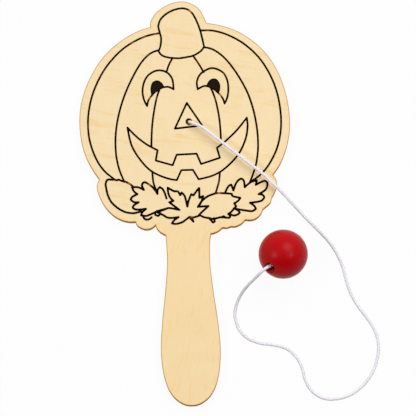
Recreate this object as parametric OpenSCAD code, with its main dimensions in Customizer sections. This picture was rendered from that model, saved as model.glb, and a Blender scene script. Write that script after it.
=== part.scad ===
// Wooden pumpkin paddle with a red ball on an elastic cord.
// The board lies on its back: X across, Y up the handle to the stem, Z out of the engraved face.
// The origin is on the back face, under the middle of the handle.

/* [Board] */

// Width of the pumpkin head
head_w = 118.4; // [112:0.2:124]
// Length of the handle from the neck to its end
handle_len = 95.4; // [90:0.2:102]
// Width of the handle at its widest
handle_w = 33.2; // [31:0.2:36]
// Thickness of one wood ply
ply_t = 1.6; // [1.5:0.1:1.8]

/* [Engraving] */

// Width of the burnt lines
line_w = 0.95; // [0.8:0.05:1.05]
// Depth of the burnt lines
line_d = 0.3; // [0.2:0.05:0.5]

/* [Cord] */

// Diameter of the elastic cord
cord_d = 1.7; // [1.5:0.1:1.9]
// Diameter of the cord hole in the front ply
hole_d = 3.2; // [2.9:0.1:3.6]
// Diameter of the knot recess behind the front ply
recess_d = 6.4; // [6:0.1:7]
// Width of each pulled-tight knot
knot_d = 4.8; // [4.6:0.1:5.2]
// Height of each pulled-tight knot
knot_h = 2.9; // [2.6:0.1:2.95]
// Length of the cord tail past the ball knot
tail_len = 2.4; // [1.5:0.1:3]
// Height of the cord's arch above the face
cord_lift = 4.8; // [4:0.1:6]

/* [Ball] */

// Diameter of the ball
ball_d = 27.4; // [26:0.1:30]
// Diameter of the bore through the ball
bore_d = 3.2; // [3:0.1:3.5]
// Width of the countersink at each end of the bore
sink_d = 7.6; // [7:0.1:8]
// Tilt of the bore above the table
bore_tilt = 30; // [26:1:34]

/* [Hidden] */

round_steps = 48;
curve_steps = 3;
board_t = 3 * ply_t;
unit = head_w / 2;
grip = handle_len / 2;
half_w = handle_w / 2;

// The head's points are shares of half its width, counted from the middle of the face.
neck_share = 1.12;
head_y = grip + neck_share * unit;
hole_share = [0.03, -0.03];
hole_x = hole_share[0] * unit;
hole_y = head_y + hole_share[1] * unit;

stem_top_shares = [[-0.317, 0.895], [-0.317, 0.937], [-0.292, 0.989], [-0.253, 1.039], [-0.168, 1.097],
    [-0.073, 1.132], [0.025, 1.134], [0.118, 1.093], [0.167, 1.042], [0.192, 0.996], [0.213, 0.948],
    [0.223, 0.922]];
right_side_shares = [[0.223, 0.922], [0.346, 0.897], [0.465, 0.857], [0.579, 0.797], [0.714, 0.689],
    [0.824, 0.556], [0.905, 0.401], [0.958, 0.234], [0.987, 0.062], [0.99, -0.114], [0.959, -0.288],
    [0.894, -0.45], [0.817, -0.564]];
right_lobe_a_shares = [[0.817, -0.564], [0.844, -0.606], [0.851, -0.674], [0.825, -0.74],
    [0.801, -0.778]];
right_lobe_b_shares = [[0.801, -0.778], [0.786, -0.828], [0.75, -0.862], [0.712, -0.89]];
right_lobe_c_shares = [[0.712, -0.89], [0.691, -0.937], [0.648, -0.976], [0.595, -0.993],
    [0.543, -0.988]];
right_lobe_d_shares = [[0.543, -0.988], [0.501, -1.027], [0.445, -1.05], [0.404, -1.048]];
right_lobe_e_shares = [[0.404, -1.048], [0.368, -1.061], [0.324, -1.057]];
right_lobe_f_shares = [[0.324, -1.057], [0.286, -1.087], [0.25, -1.104], [0.213, -1.113]];
left_lobe_a_shares = [[-0.216, -1.116], [-0.264, -1.088], [-0.297, -1.052], [-0.31, -1.018]];
left_lobe_b_shares = [[-0.31, -1.018], [-0.346, -1.045], [-0.393, -1.056], [-0.439, -1.046],
    [-0.482, -1.017], [-0.5, -0.981]];
left_lobe_c_shares = [[-0.5, -0.981], [-0.564, -0.98], [-0.644, -0.955], [-0.721, -0.904],
    [-0.788, -0.825], [-0.836, -0.73], [-0.859, -0.635], [-0.835, -0.563]];
left_side_shares = [[-0.835, -0.563], [-0.887, -0.486], [-0.947, -0.371], [-0.99, -0.236],
    [-1.011, -0.06], [-1.002, 0.116], [-0.959, 0.287], [-0.887, 0.447], [-0.793, 0.591],
    [-0.673, 0.714], [-0.534, 0.81], [-0.422, 0.864], [-0.317, 0.895]];

// The handle's points are shares of half its width and half its length; it stands a little to the left.
handle_shift = -0.35;
handle_side_shares = [[0.743, 0.94], [0.733, 0.88], [0.722, 0.755], [0.73, 0.63], [0.763, 0.503],
    [0.806, 0.356], [0.862, 0.2], [0.92, 0.042], [0.961, -0.105], [0.991, -0.23], [1, -0.346],
    [0.988, -0.461], [0.958, -0.566], [0.904, -0.667], [0.826, -0.76], [0.73, -0.832], [0.584, -0.904],
    [0.372, -0.963], [0.17, -0.992], [0, -0.998]];

// Engraved lines of the face.
stem_over_shares = [[-0.24, 0.905], [-0.217, 0.966], [-0.16, 1.02], [-0.09, 1.055], [-0.01, 1.07],
    [0.052, 1.053], [0.096, 1.008], [0.133, 0.93], [0.163, 0.84], [0.186, 0.73], [0.194, 0.689]];
stem_foot_shares = [[0.194, 0.689], [0.158, 0.647], [0.09, 0.608], [0.02, 0.593], [-0.06, 0.585],
    [-0.15, 0.595], [-0.212, 0.618], [-0.242, 0.656]];
stem_left_shares = [[-0.242, 0.656], [-0.223, 0.71], [-0.215, 0.78], [-0.226, 0.835], [-0.236, 0.875],
    [-0.24, 0.905]];
skin_left_shares = [[-0.225, 0.835], [-0.35, 0.81], [-0.48, 0.755], [-0.608, 0.668], [-0.735, 0.532],
    [-0.827, 0.383], [-0.893, 0.218], [-0.927, 0.04], [-0.927, -0.12], [-0.902, -0.25], [-0.851, -0.383],
    [-0.781, -0.487], [-0.69, -0.567]];
skin_right_shares = [[0.16, 0.85], [0.29, 0.843], [0.428, 0.797], [0.578, 0.707], [0.72, 0.565],
    [0.823, 0.387], [0.884, 0.198], [0.908, -0.01], [0.895, -0.18], [0.85, -0.335], [0.769, -0.478],
    [0.686, -0.566], [0.594, -0.628]];
rib_left_shares = [[-0.237, 0.67], [-0.322, 0.638], [-0.409, 0.553], [-0.495, 0.413], [-0.576, 0.24],
    [-0.637, 0.05], [-0.669, -0.14], [-0.67, -0.32], [-0.643, -0.47], [-0.596, -0.593]];
rib_right_shares = [[0.193, 0.686], [0.278, 0.661], [0.379, 0.584], [0.484, 0.447], [0.586, 0.258],
    [0.642, 0.088], [0.675, -0.1], [0.682, -0.28], [0.662, -0.438], [0.624, -0.556], [0.593, -0.63]];
brow_left_shares = [[-0.11, 0.59], [-0.147, 0.523], [-0.173, 0.45]];
brow_right_shares = [[0.085, 0.607], [0.135, 0.53], [0.183, 0.444]];
cheek_left_shares = [[-0.244, 0.281], [-0.26, 0.24], [-0.282, 0.162], [-0.309, 0.02], [-0.325, -0.12],
    [-0.332, -0.265]];
cheek_right_shares = [[0.246, 0.29], [0.265, 0.246], [0.292, 0.16], [0.317, 0.02], [0.328, -0.11],
    [0.33, -0.235]];
chin_left_shares = [[-0.329, -0.5], [-0.32, -0.61], [-0.283, -0.714]];
chin_right_shares = [[0.312, -0.528], [0.302, -0.608], [0.285, -0.668], [0.266, -0.723]];
eye_left_over_shares = [[-0.364, 0.13], [-0.394, 0.198], [-0.404, 0.28], [-0.386, 0.365],
    [-0.339, 0.434], [-0.255, 0.472], [-0.169, 0.451], [-0.118, 0.383], [-0.108, 0.285]];
eye_left_under_shares = [[-0.108, 0.285], [-0.163, 0.307], [-0.21, 0.305], [-0.288, 0.261],
    [-0.333, 0.208], [-0.364, 0.13]];
eye_right_over_shares = [[0.122, 0.28], [0.117, 0.356], [0.158, 0.432], [0.26, 0.481], [0.361, 0.441],
    [0.406, 0.36], [0.415, 0.275], [0.404, 0.2], [0.376, 0.13]];
eye_right_under_shares = [[0.376, 0.13], [0.34, 0.212], [0.279, 0.275], [0.228, 0.303],
    [0.178, 0.308], [0.122, 0.28]];
pupil_left_shares = [[-0.199, 0.319], [-0.215, 0.347], [-0.246, 0.371], [-0.277, 0.373], [-0.305, 0.358],
    [-0.321, 0.326], [-0.327, 0.281], [-0.317, 0.231], [-0.281, 0.267], [-0.235, 0.292]];
pupil_right_shares = [[0.204, 0.314], [0.227, 0.354], [0.259, 0.378], [0.296, 0.377], [0.322, 0.351],
    [0.336, 0.311], [0.333, 0.269], [0.321, 0.24], [0.289, 0.268], [0.248, 0.288]];
nose_shares = [[0.015, 0.15], [-0.105, -0.095], [0.155, -0.07]];
mouth_upper_left_shares = [[-0.556, -0.073], [-0.472, -0.162], [-0.377, -0.239], [-0.274, -0.299]];
mouth_teeth_shares = [[-0.294, -0.396], [-0.134, -0.446], [-0.094, -0.346], [0.096, -0.341],
    [0.136, -0.441], [0.316, -0.386]];
mouth_upper_right_shares = [[0.29, -0.29], [0.37, -0.23], [0.479, -0.13], [0.583, -0.007]];
mouth_lower_right_shares = [[0.583, -0.007], [0.587, -0.1], [0.562, -0.22], [0.49, -0.36],
    [0.366, -0.485], [0.248, -0.553], [0.109, -0.587]];
mouth_low_tooth_shares = [[0.057, -0.495], [-0.053, -0.495]];
mouth_lower_left_shares = [[-0.098, -0.59], [-0.197, -0.567], [-0.331, -0.502], [-0.43, -0.4],
    [-0.518, -0.25], [-0.556, -0.073]];

// Engraved garland of leaves under the face.
round_leaf_shares = [[-0.51, -0.646], [-0.54, -0.619], [-0.582, -0.594], [-0.615, -0.586],
    [-0.651, -0.571], [-0.668, -0.577], [-0.69, -0.569], [-0.718, -0.57], [-0.746, -0.566],
    [-0.765, -0.58], [-0.774, -0.609], [-0.77, -0.65], [-0.757, -0.71], [-0.735, -0.765], [-0.7, -0.81],
    [-0.647, -0.854], [-0.59, -0.883], [-0.529, -0.895], [-0.485, -0.89], [-0.445, -0.879]];
oak_top_shares = [[-0.525, -0.647], [-0.475, -0.647], [-0.445, -0.657], [-0.413, -0.675],
    [-0.43, -0.632], [-0.42, -0.607], [-0.395, -0.604], [-0.34, -0.642], [-0.305, -0.682],
    [-0.285, -0.717], [-0.282, -0.677], [-0.262, -0.652], [-0.235, -0.672], [-0.215, -0.712],
    [-0.2, -0.762]];
oak_low_shares = [[-0.2, -0.859], [-0.28, -0.879], [-0.34, -0.904], [-0.395, -0.924], [-0.445, -0.917],
    [-0.435, -0.891], [-0.397, -0.856], [-0.46, -0.862], [-0.5, -0.858], [-0.522, -0.842],
    [-0.51, -0.819], [-0.465, -0.792], [-0.51, -0.789], [-0.54, -0.764], [-0.525, -0.739],
    [-0.475, -0.714], [-0.505, -0.689], [-0.525, -0.647]];
maple_shares = [[0.105, -0.935], [0.05, -0.95], [0.015, -0.945], [-0.02, -0.968], [-0.055, -0.992],
    [-0.115, -1.008], [-0.155, -1], [-0.13, -0.97], [-0.09, -0.943], [-0.15, -0.95], [-0.2, -0.943],
    [-0.235, -0.92], [-0.29, -0.893], [-0.215, -0.865], [-0.175, -0.855], [-0.08, -0.875],
    [-0.13, -0.835], [-0.175, -0.8], [-0.135, -0.787], [-0.165, -0.755], [-0.182, -0.71], [-0.187, -0.66],
    [-0.13, -0.693], [-0.09, -0.7], [-0.07, -0.735], [-0.055, -0.71], [-0.025, -0.75], [-0.005, -0.845],
    [0.01, -0.785], [0.035, -0.727], [0.055, -0.74], [0.085, -0.7], [0.112, -0.67], [0.112, -0.765],
    [0.148, -0.748], [0.125, -0.81], [0.095, -0.85], [0.195, -0.845]];
oval_shares = [[0.095, -0.85], [0.135, -0.795], [0.185, -0.755], [0.235, -0.735], [0.28, -0.725],
    [0.365, -0.728], [0.42, -0.735], [0.43, -0.757], [0.5, -0.775], [0.475, -0.805], [0.44, -0.825],
    [0.458, -0.853], [0.41, -0.905], [0.38, -0.925], [0.4, -0.945], [0.385, -0.962], [0.315, -0.955],
    [0.275, -0.962], [0.235, -0.97], [0.2, -0.96], [0.15, -0.95], [0.105, -0.925], [0.155, -0.88],
    [0.195, -0.845]];
oak_right_shares = [[0.36, -0.714], [0.375, -0.684], [0.395, -0.656], [0.418, -0.646], [0.436, -0.702],
    [0.455, -0.649], [0.477, -0.614], [0.504, -0.594], [0.524, -0.596], [0.539, -0.619],
    [0.544, -0.674], [0.579, -0.644], [0.609, -0.624], [0.661, -0.611], [0.649, -0.654],
    [0.699, -0.629], [0.739, -0.616], [0.761, -0.634], [0.756, -0.674], [0.734, -0.709],
    [0.674, -0.744], [0.711, -0.751], [0.727, -0.774], [0.704, -0.804], [0.659, -0.817],
    [0.589, -0.824], [0.629, -0.854], [0.644, -0.884], [0.609, -0.904], [0.559, -0.899],
    [0.504, -0.889], [0.434, -0.874]];
bud_shares = [[0.436, -0.875], [0.473, -0.893], [0.491, -0.915], [0.471, -0.932], [0.436, -0.942],
    [0.401, -0.93]];
curl_shares = [[-0.43, -0.918], [-0.41, -0.953], [-0.375, -0.958], [-0.345, -0.938]];
stalk_shares = [[0.21, -0.958], [0.235, -1.003], [0.255, -0.958]];
tip_shares = [[0.035, -0.955], [0.05, -0.99]];

// The knots are two turns of cord pulled tight.
turns = 2;
turn_h = knot_h / turns;
turn_step = 15;
knot_gap = 0.3;

// The ball rests on the table beside the handle, its bore rising to the lower left.
ball_r = ball_d / 2;
bore_r = bore_d / 2;
sink_r = sink_d / 2;
ball_x = 52.3;
ball_y = 34.9;
bore_turn = 226;
bore_dir = [cos(bore_tilt) * cos(bore_turn), cos(bore_tilt) * sin(bore_turn), sin(bore_tilt)];
ball_mid = [ball_x, ball_y, ball_r];
sink_face = sqrt(ball_r * ball_r - sink_r * sink_r);
sink_floor = sink_face - (sink_r - bore_r);
turn_mid_r = knot_d / 2 - turn_h / 2;
seat_lift = turn_mid_r - bore_r + sqrt(2) * (turn_h / 2 + knot_gap) - turn_h / 2;
knot_seat = sink_floor + seat_lift;

// The cord leaves the hole beside its middle, in a low arch over the face: shares across, up and of the lift.
exit_share = [0.036, -0.0345];
arch_shares = [[0.039, -0.0365, 0.3], [0.061, -0.05, 0.62], [0.1, -0.07, 0.87], [0.16, -0.103, 0.97],
    [0.258, -0.182, 1.02], [0.333, -0.245, 1.03], [0.507, -0.387, 1.01], [0.693, -0.54, 0.98],
    [0.77, -0.611, 0.96], [0.85, -0.695, 0.93]];
// It comes down to the table, and lies there in one slack loop back to the ball.
table_route = [[53.5, 69.5, 7.8], [57.3, 65.3, 6.4], [62.1, 60.1, 4.2], [65, 57, 2.9],
    [68.5, 53.5, 1.7], [71.8, 50.2, 0.8], [74.9, 46.9, 0.2], [77.3, 44.3, 0], [79.3, 41.7, 0],
    [81.2, 38.7, 0], [83.2, 35.1, 0], [85.8, 28.6, 0], [87.8, 20, 0], [90.2, 12.6, 0], [94, 5.5, 0],
    [98.6, -0.9, 0], [102.4, -7.5, 0], [104.3, -14.5, 0], [104, -21.4, 0], [101.7, -28.9, 0],
    [97.1, -36.2, 0], [90.8, -41.7, 0], [84.4, -44.6, 0], [77.5, -45.6, 0], [71.7, -44.5, 0],
    [66.4, -40.7, 0], [63.1, -35, 0], [61.6, -28.5, 0], [59.5, -23.5, 0], [55.7, -18.7, 0],
    [50.7, -15.8, 0], [44.1, -14.3, 0], [37.6, -13.2, 0], [31.2, -10.2, 0], [26.9, -5.5, 0],
    [24.8, 1.5, 0.2], [25.55, 7.6, 1.4], [28.2, 13.3, 4.7]];
// It rises to the mouth of the bore: shares of the ball's radius away from the mouth.
rise_shares = [[-0.92, -0.65, -0.67], [-0.67, -0.435, -0.345], [-0.45, -0.245, -0.06], [-0.33, -0.14, 0.05],
    [-0.19, -0.025, 0.065], [-0.055, 0.058, 0], [0.078, 0.118, -0.08], [0.215, 0.22, -0.18]];
cord_sides = 8;
bend_rings = 5;
fine_step = 1.2 * cord_d;
wide_step = 2.97 * cord_d;

function at(list, i) = list[max(0, min(len(list) - 1, i))];
function bend(a, b, c, d, t) = (2 * b + (c - a) * t + (2 * a - 5 * b + 4 * c - d) * t * t
    + (3 * b - a - 3 * c + d) * t * t * t) / 2;
// A smooth run through the points, without its last one.
function run(list, steps) = [for (i = [0:len(list) - 2]) for (k = [0:steps - 1])
    bend(at(list, i - 1), at(list, i), at(list, i + 1), at(list, i + 2), k / steps)];
function smooth(list, steps) = concat(run(list, steps), [list[len(list) - 1]]);
function on_head(list) = [for (p = list) [p[0] * unit, head_y + p[1] * unit]];
function on_handle(list, side) = [for (p = list) [handle_shift + side * p[0] * half_w, p[1] * grip]];
function backwards(list) = [for (i = [len(list) - 1:-1:0]) list[i]];
function inner(list) = [for (i = [1:len(list) - 1]) list[i]];

neck_right = on_head([right_lobe_f_shares[3]]);
neck_left = on_head([left_lobe_a_shares[0]]);
handle_right = concat(neck_right, on_handle(handle_side_shares, 1));
handle_left = concat(neck_left, on_handle(handle_side_shares, -1));
board_outline = concat(
    run(on_head(stem_top_shares), curve_steps),
    run(on_head(right_side_shares), curve_steps),
    run(on_head(right_lobe_a_shares), curve_steps),
    run(on_head(right_lobe_b_shares), curve_steps),
    run(on_head(right_lobe_c_shares), curve_steps),
    run(on_head(right_lobe_d_shares), curve_steps),
    run(on_head(right_lobe_e_shares), curve_steps),
    run(on_head(right_lobe_f_shares), curve_steps),
    run(concat(handle_right, inner(backwards(handle_left))), curve_steps),
    run(on_head(left_lobe_a_shares), curve_steps),
    run(on_head(left_lobe_b_shares), curve_steps),
    run(on_head(left_lobe_c_shares), curve_steps),
    run(on_head(left_side_shares), curve_steps));

// Sideways step at a point of a line, lengthened at corners to keep the line's width.
corner_stretch = 1.7;
function unit2(v) = v / norm(v);
function left_of(v) = [-v[1], v[0]];
function side_step(before, p, after) =
    let (a = left_of(unit2(p - before)), b = left_of(unit2(after - p)), m = unit2(a + b))
    m * min(corner_stretch, 1 / max(m * a, 0.1));
function open_step(list, i) = let (n = len(list))
    i == 0 ? left_of(unit2(list[1] - list[0]))
    : i == n - 1 ? left_of(unit2(list[n - 1] - list[n - 2]))
    : side_step(list[i - 1], list[i], list[i + 1]);
function ring_step(list, i) = let (n = len(list))
    side_step(list[(i + n - 1) % n], list[i], list[(i + 1) % n]);
function beside(list, offsets, side) = [for (i = [0:len(list) - 1])
    list[i] + side * offsets[i] * line_w / 2];

module open_line(list) {
    steps = [for (i = [0:len(list) - 1]) open_step(list, i)];
    polygon(concat(beside(list, steps, 1), backwards(beside(list, steps, -1))));
}

module ring_line(list) {
    steps = [for (i = [0:len(list) - 1]) ring_step(list, i)];
    n = len(list);
    polygon(concat(beside(list, steps, 1), beside(list, steps, -1)),
        paths = [[for (i = [0:n - 1]) i], [for (i = [0:n - 1]) n + i]]);
}

module curve_line(shares) {
    open_line(smooth(on_head(shares), curve_steps));
}

module face_lines() {
    ring_line(concat(run(on_head(stem_over_shares), curve_steps), run(on_head(stem_foot_shares), curve_steps),
        run(on_head(stem_left_shares), curve_steps)));
    curve_line(skin_left_shares);
    curve_line(skin_right_shares);
    curve_line(rib_left_shares);
    curve_line(rib_right_shares);
    curve_line(brow_left_shares);
    curve_line(brow_right_shares);
    curve_line(cheek_left_shares);
    curve_line(cheek_right_shares);
    curve_line(chin_left_shares);
    curve_line(chin_right_shares);
    ring_line(concat(run(on_head(eye_left_over_shares), curve_steps),
        run(on_head(eye_left_under_shares), curve_steps)));
    ring_line(concat(run(on_head(eye_right_over_shares), curve_steps),
        run(on_head(eye_right_under_shares), curve_steps)));
    polygon(on_head(pupil_left_shares));
    polygon(on_head(pupil_right_shares));
    ring_line(on_head(nose_shares));
    ring_line(concat(run(on_head(mouth_upper_left_shares), curve_steps),
        on_head([mouth_upper_left_shares[3]]), on_head(mouth_teeth_shares),
        run(on_head(mouth_upper_right_shares), curve_steps),
        smooth(on_head(mouth_lower_right_shares), curve_steps),
        on_head(mouth_low_tooth_shares),
        run(on_head(mouth_lower_left_shares), curve_steps)));
}

module leaf_lines() {
    open_line(on_head(round_leaf_shares));
    open_line(on_head(oak_top_shares));
    open_line(on_head(oak_low_shares));
    open_line(on_head(maple_shares));
    open_line(on_head(oval_shares));
    open_line(on_head(oak_right_shares));
    open_line(on_head(bud_shares));
    open_line(on_head(curl_shares));
    open_line(on_head(stalk_shares));
    open_line(on_head(tip_shares));
}

module ply(level, drill_d) {
    translate([0, 0, level])
        difference() {
            linear_extrude(ply_t)
                polygon(board_outline);
            translate([hole_x, hole_y, -ply_t])
                cylinder(h = 3 * ply_t, d = drill_d, $fn = round_steps);
        }
}

module front_veneer() {
    color([0.957, 0.847, 0.655])
        difference() {
            ply(2 * ply_t, hole_d);
            translate([0, 0, board_t - line_d])
                linear_extrude(2 * line_d) {
                    face_lines();
                    leaf_lines();
                }
        }
}

module core_veneer() {
    color([0.86, 0.72, 0.5])
        ply(ply_t, recess_d);
}

module back_veneer() {
    color([0.95, 0.83, 0.63])
        ply(0, recess_d);
}

module knot_turns() {
    rotate_extrude($fn = round_steps)
        polygon(concat([[0, 0]],
            [for (i = [0:turns - 1]) for (a = [-90 + (i == 0 ? 0 : turn_step):turn_step:90])
                [turn_mid_r + turn_h / 2 * cos(a), turn_h * (i + 0.5) + turn_h / 2 * sin(a)]],
            [[0, knot_h]]));
}

module back_knot() {
    color([0.84, 0.84, 0.94])
        translate([hole_x, hole_y, 2 * ply_t - knot_h])
            knot_turns();
}

module along_bore() {
    translate(ball_mid)
        rotate([0, 0, bore_turn])
            rotate([0, 90 - bore_tilt, 0])
                children();
}

module ball() {
    color([0.74, 0.06, 0.09])
        along_bore()
            difference() {
                sphere(d = ball_d, $fn = 2 * round_steps);
                cylinder(h = 2 * ball_d, d = bore_d, center = true, $fn = round_steps);
                for (side = [0, 180])
                    rotate([side, 0, 0])
                        translate([0, 0, sink_floor])
                            cylinder(h = ball_r, r1 = bore_r, r2 = bore_r + ball_r, $fn = round_steps);
            }
}

module ball_knot() {
    color([0.84, 0.84, 0.94])
        along_bore()
            rotate([180, 0, 0])
                translate([0, 0, knot_seat]) {
                    knot_turns();
                    cylinder(h = knot_h + tail_len, d = cord_d, $fn = round_steps);
                }
}

mouth = ball_mid + sink_face * bore_dir;
exit_x = exit_share[0] * unit;
exit_y = head_y + exit_share[1] * unit;
cord_start = [exit_x, exit_y, 2 * ply_t];
cord_exit = [exit_x, exit_y, board_t - line_d];
cord_finish = ball_mid - knot_seat * bore_dir;
cord_low = cord_d / 2;
cord_points = concat(
    [cord_start, cord_exit],
    [for (p = arch_shares) [p[0] * unit, head_y + p[1] * unit, board_t + p[2] * cord_lift]],
    [for (p = table_route) [p[0], p[1], p[2] + cord_low]],
    [for (p = rise_shares) mouth + p * ball_r],
    [ball_mid, cord_finish]);

trace_steps = 6;
trace = [for (p = smooth(cord_points, trace_steps)) [p[0], p[1], max(p[2], cord_low)]];
function lengths(list, i = 0, sum = 0) = i >= len(list) ? []
    : let (s = i == 0 ? 0 : sum + norm(list[i] - list[i - 1])) concat([s], lengths(list, i + 1, s));
trace_lengths = lengths(trace);
cord_len = trace_lengths[len(trace) - 1];
x_table = [for (i = [0:len(trace) - 1]) [trace_lengths[i], trace[i][0]]];
y_table = [for (i = [0:len(trace) - 1]) [trace_lengths[i], trace[i][1]]];
z_table = [for (i = [0:len(trace) - 1]) [trace_lengths[i], trace[i][2]]];
function on_cord(s) = [lookup(s, x_table), lookup(s, y_table), lookup(s, z_table)];

// Rings stand close where the cord turns out of the hole and into the ball, and wide elsewhere.
near_hole = bend_rings * fine_step;
bore_run = norm(mouth - cord_finish);
near_mouth = cord_len - bore_run - (bend_rings - 2) * fine_step;
past_mouth = cord_len - bore_run + fine_step;
wide_rings = ceil((near_mouth - near_hole) / wide_step);
bore_rings = ceil((cord_len - past_mouth) / wide_step);
ring_places = concat(
    [for (i = [0:bend_rings - 1]) i * fine_step],
    [for (i = [0:wide_rings - 1]) near_hole + (near_mouth - near_hole) * i / wide_rings],
    [for (i = [0:bend_rings - 2]) near_mouth + i * fine_step],
    [for (i = [0:bore_rings]) past_mouth + (cord_len - past_mouth) * i / bore_rings]);
mids = [for (s = ring_places) on_cord(s)];
last_ring = len(mids) - 1;
function unit3(v) = v / norm(v);
tangents = [for (i = [0:last_ring])
    i == 0 ? [0, 0, 1]
    : i == last_ring ? -bore_dir
    : unit3(unit3(mids[i + 1] - mids[i]) + unit3(mids[i] - mids[i - 1]))];
// Each ring's first corner is carried along the cord without twist.
function carried(i, side) = i > last_ring ? []
    : let (s = unit3(side - (side * tangents[i]) * tangents[i])) concat([s], carried(i + 1, s));
sides = carried(0, [1, 0, 0]);
tube_points = [for (i = [0:last_ring]) for (k = [0:cord_sides - 1])
    let (a = (k + 0.5) * 360 / cord_sides)
    mids[i] + cord_d / 2 * (cos(a) * sides[i] + sin(a) * cross(tangents[i], sides[i]))];
tube_faces = concat(
    [[for (k = [0:cord_sides - 1]) k]],
    [for (i = [0:last_ring - 1]) for (k = [0:cord_sides - 1]) let (n = (k + 1) % cord_sides)
        [i * cord_sides + k, (i + 1) * cord_sides + k, (i + 1) * cord_sides + n]],
    [for (i = [0:last_ring - 1]) for (k = [0:cord_sides - 1]) let (n = (k + 1) % cord_sides)
        [i * cord_sides + k, (i + 1) * cord_sides + n, i * cord_sides + n]],
    [[for (k = [cord_sides - 1:-1:0]) last_ring * cord_sides + k]]);
echo(cord_len = cord_len, rings = last_ring + 1, lowest = min([for (p = tube_points) p[2]]));

module elastic_cord() {
    color([0.84, 0.84, 0.94])
        polyhedron(tube_points, tube_faces, convexity = 6);
}

front_veneer();
core_veneer();
back_veneer();
back_knot();
elastic_cord();
ball();
ball_knot();
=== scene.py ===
# Wooden pumpkin paddle with a red ball on an elastic cord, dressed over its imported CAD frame.
import bmesh
import bpy
import math
import numpy as np
from mathutils import Matrix
from mathutils.geometry import delaunay_2d_cdt


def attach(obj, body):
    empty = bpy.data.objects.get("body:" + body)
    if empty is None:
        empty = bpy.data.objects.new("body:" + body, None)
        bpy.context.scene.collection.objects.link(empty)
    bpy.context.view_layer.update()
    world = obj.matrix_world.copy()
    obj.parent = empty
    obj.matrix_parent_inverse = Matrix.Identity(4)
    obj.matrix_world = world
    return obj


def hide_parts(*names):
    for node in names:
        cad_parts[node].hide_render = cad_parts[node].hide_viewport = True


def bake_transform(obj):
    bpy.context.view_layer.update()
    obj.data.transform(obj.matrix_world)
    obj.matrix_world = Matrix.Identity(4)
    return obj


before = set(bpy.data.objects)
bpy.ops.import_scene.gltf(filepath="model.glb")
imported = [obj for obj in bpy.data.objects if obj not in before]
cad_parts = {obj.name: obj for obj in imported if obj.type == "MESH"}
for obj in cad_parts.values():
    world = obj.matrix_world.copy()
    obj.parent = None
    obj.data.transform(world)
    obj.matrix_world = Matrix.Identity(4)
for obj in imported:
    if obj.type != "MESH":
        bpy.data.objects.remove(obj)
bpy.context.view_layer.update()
print("frame loaded:", ", ".join(sorted(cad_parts)))

mm = 0.001
white = (1.0, 1.0, 1.0, 1.0)

# The camera stands nearly overhead and leans a little towards the handle.
cameraSetup = {
    "lookAt": (11.28, 62.88, 4.8),   # mm
    "distance": 1200.0,              # mm
    "turn": 268.5, "elevation": 83.0,
    "mmPerPixel": 0.5608,            # at the distance of lookAt
    "imageWidth": 416, "sensor": 36.0, "clip": (0.05, 20),
}


def addThing(name, data):
    thing = bpy.data.objects.new(name, data)
    bpy.context.scene.collection.objects.link(thing)
    return thing


def unitLong(way):
    return way / np.linalg.norm(way, axis=-1, keepdims=True)


def compass(turn, lift):
    # Unit vector at a turn from +x and an elevation, in degrees.
    turn, lift = math.radians(turn), math.radians(lift)
    return np.array([math.cos(lift) * math.cos(turn), math.cos(lift) * math.sin(turn), math.sin(lift)])


def standing(aim, turn, lift, distance):
    # Matrix of a camera or lamp that looks at its aim from a distance.
    back = compass(turn, lift)
    right = unitLong(np.cross((0, 0, 1), back))
    rows = np.column_stack([right, np.cross(back, right), back, aim + distance * back])
    return Matrix(rows.tolist() + [(0, 0, 0, 1)])


def makeCamera(setup):
    data = bpy.data.cameras.new("camera")
    data.sensor_width = setup["sensor"]
    data.lens = setup["sensor"] * setup["distance"] / (setup["mmPerPixel"] * setup["imageWidth"])
    data.clip_start, data.clip_end = setup["clip"]
    camera = addThing("camera", data)
    camera.matrix_world = standing(np.array(setup["lookAt"]) * mm, setup["turn"], setup["elevation"],
                                   setup["distance"] * mm)
    bpy.context.scene.camera = camera


makeCamera(cameraSetup)
print("camera placed")


def smoothPoints(points, steps, sharp=None):
    # Cubic through each pair of points, leaning on the points before and after them;
    # a corner that turns by more than the sharp angle stays a corner.
    p = np.asarray(points, float)
    i = np.arange(len(p) - 1)
    corner = np.zeros(len(p), bool)
    if sharp:
        way = unitLong(np.diff(p, axis=0))
        corner[1:-1] = (way[:-1] * way[1:]).sum(1) < math.cos(math.radians(sharp))
    before = np.where(corner[:-1], i, np.maximum(i - 1, 0))
    after = np.where(corner[1:], i + 1, np.minimum(i + 2, len(p) - 1))
    a, b, c, d = (p[k][:, None, :] for k in (before, i, i + 1, after))
    t = (np.arange(steps) / steps)[None, :, None]
    q = (2 * b + (c - a) * t + (2 * a - 5 * b + 4 * c - d) * t ** 2 + (3 * b - a - 3 * c + d) * t ** 3) / 2
    return np.vstack([q.reshape(-1, p.shape[1]), p[-1:]])


def lengthAlong(path):
    return np.concatenate([[0], np.cumsum(np.linalg.norm(np.diff(path, axis=0), axis=1))])


def evenSteps(path, step):
    # The same path with its points one step apart, its ends kept.
    along = lengthAlong(path)
    wanted = np.linspace(0, along[-1], max(int(round(along[-1] / step)), 1) + 1)
    return np.stack([np.interp(wanted, along, path[:, k]) for k in range(path.shape[1])], 1)


def roundTurns(count):
    return 2 * math.pi * np.arange(count) / count


def tubeGrid(path, side, other, radius, sides):
    # point = path(s) + radius(s, turn) * (cos turn * side + sin turn * other side)
    turn = roundTurns(sides)
    around = np.cos(turn)[None, :, None] * side[:, None] + np.sin(turn)[None, :, None] * other[:, None]
    return path[:, None] + np.broadcast_to(radius, (len(path), sides))[..., None] * around


def turnedGrid(profile, sides):
    # point = (radius * cos turn, radius * sin turn, height) for each radius and height of the profile
    turn = roundTurns(sides)
    return np.stack([profile[:, :1] * np.cos(turn), profile[:, :1] * np.sin(turn),
                     np.broadcast_to(profile[:, 1:], (len(profile), sides))], -1)


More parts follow.
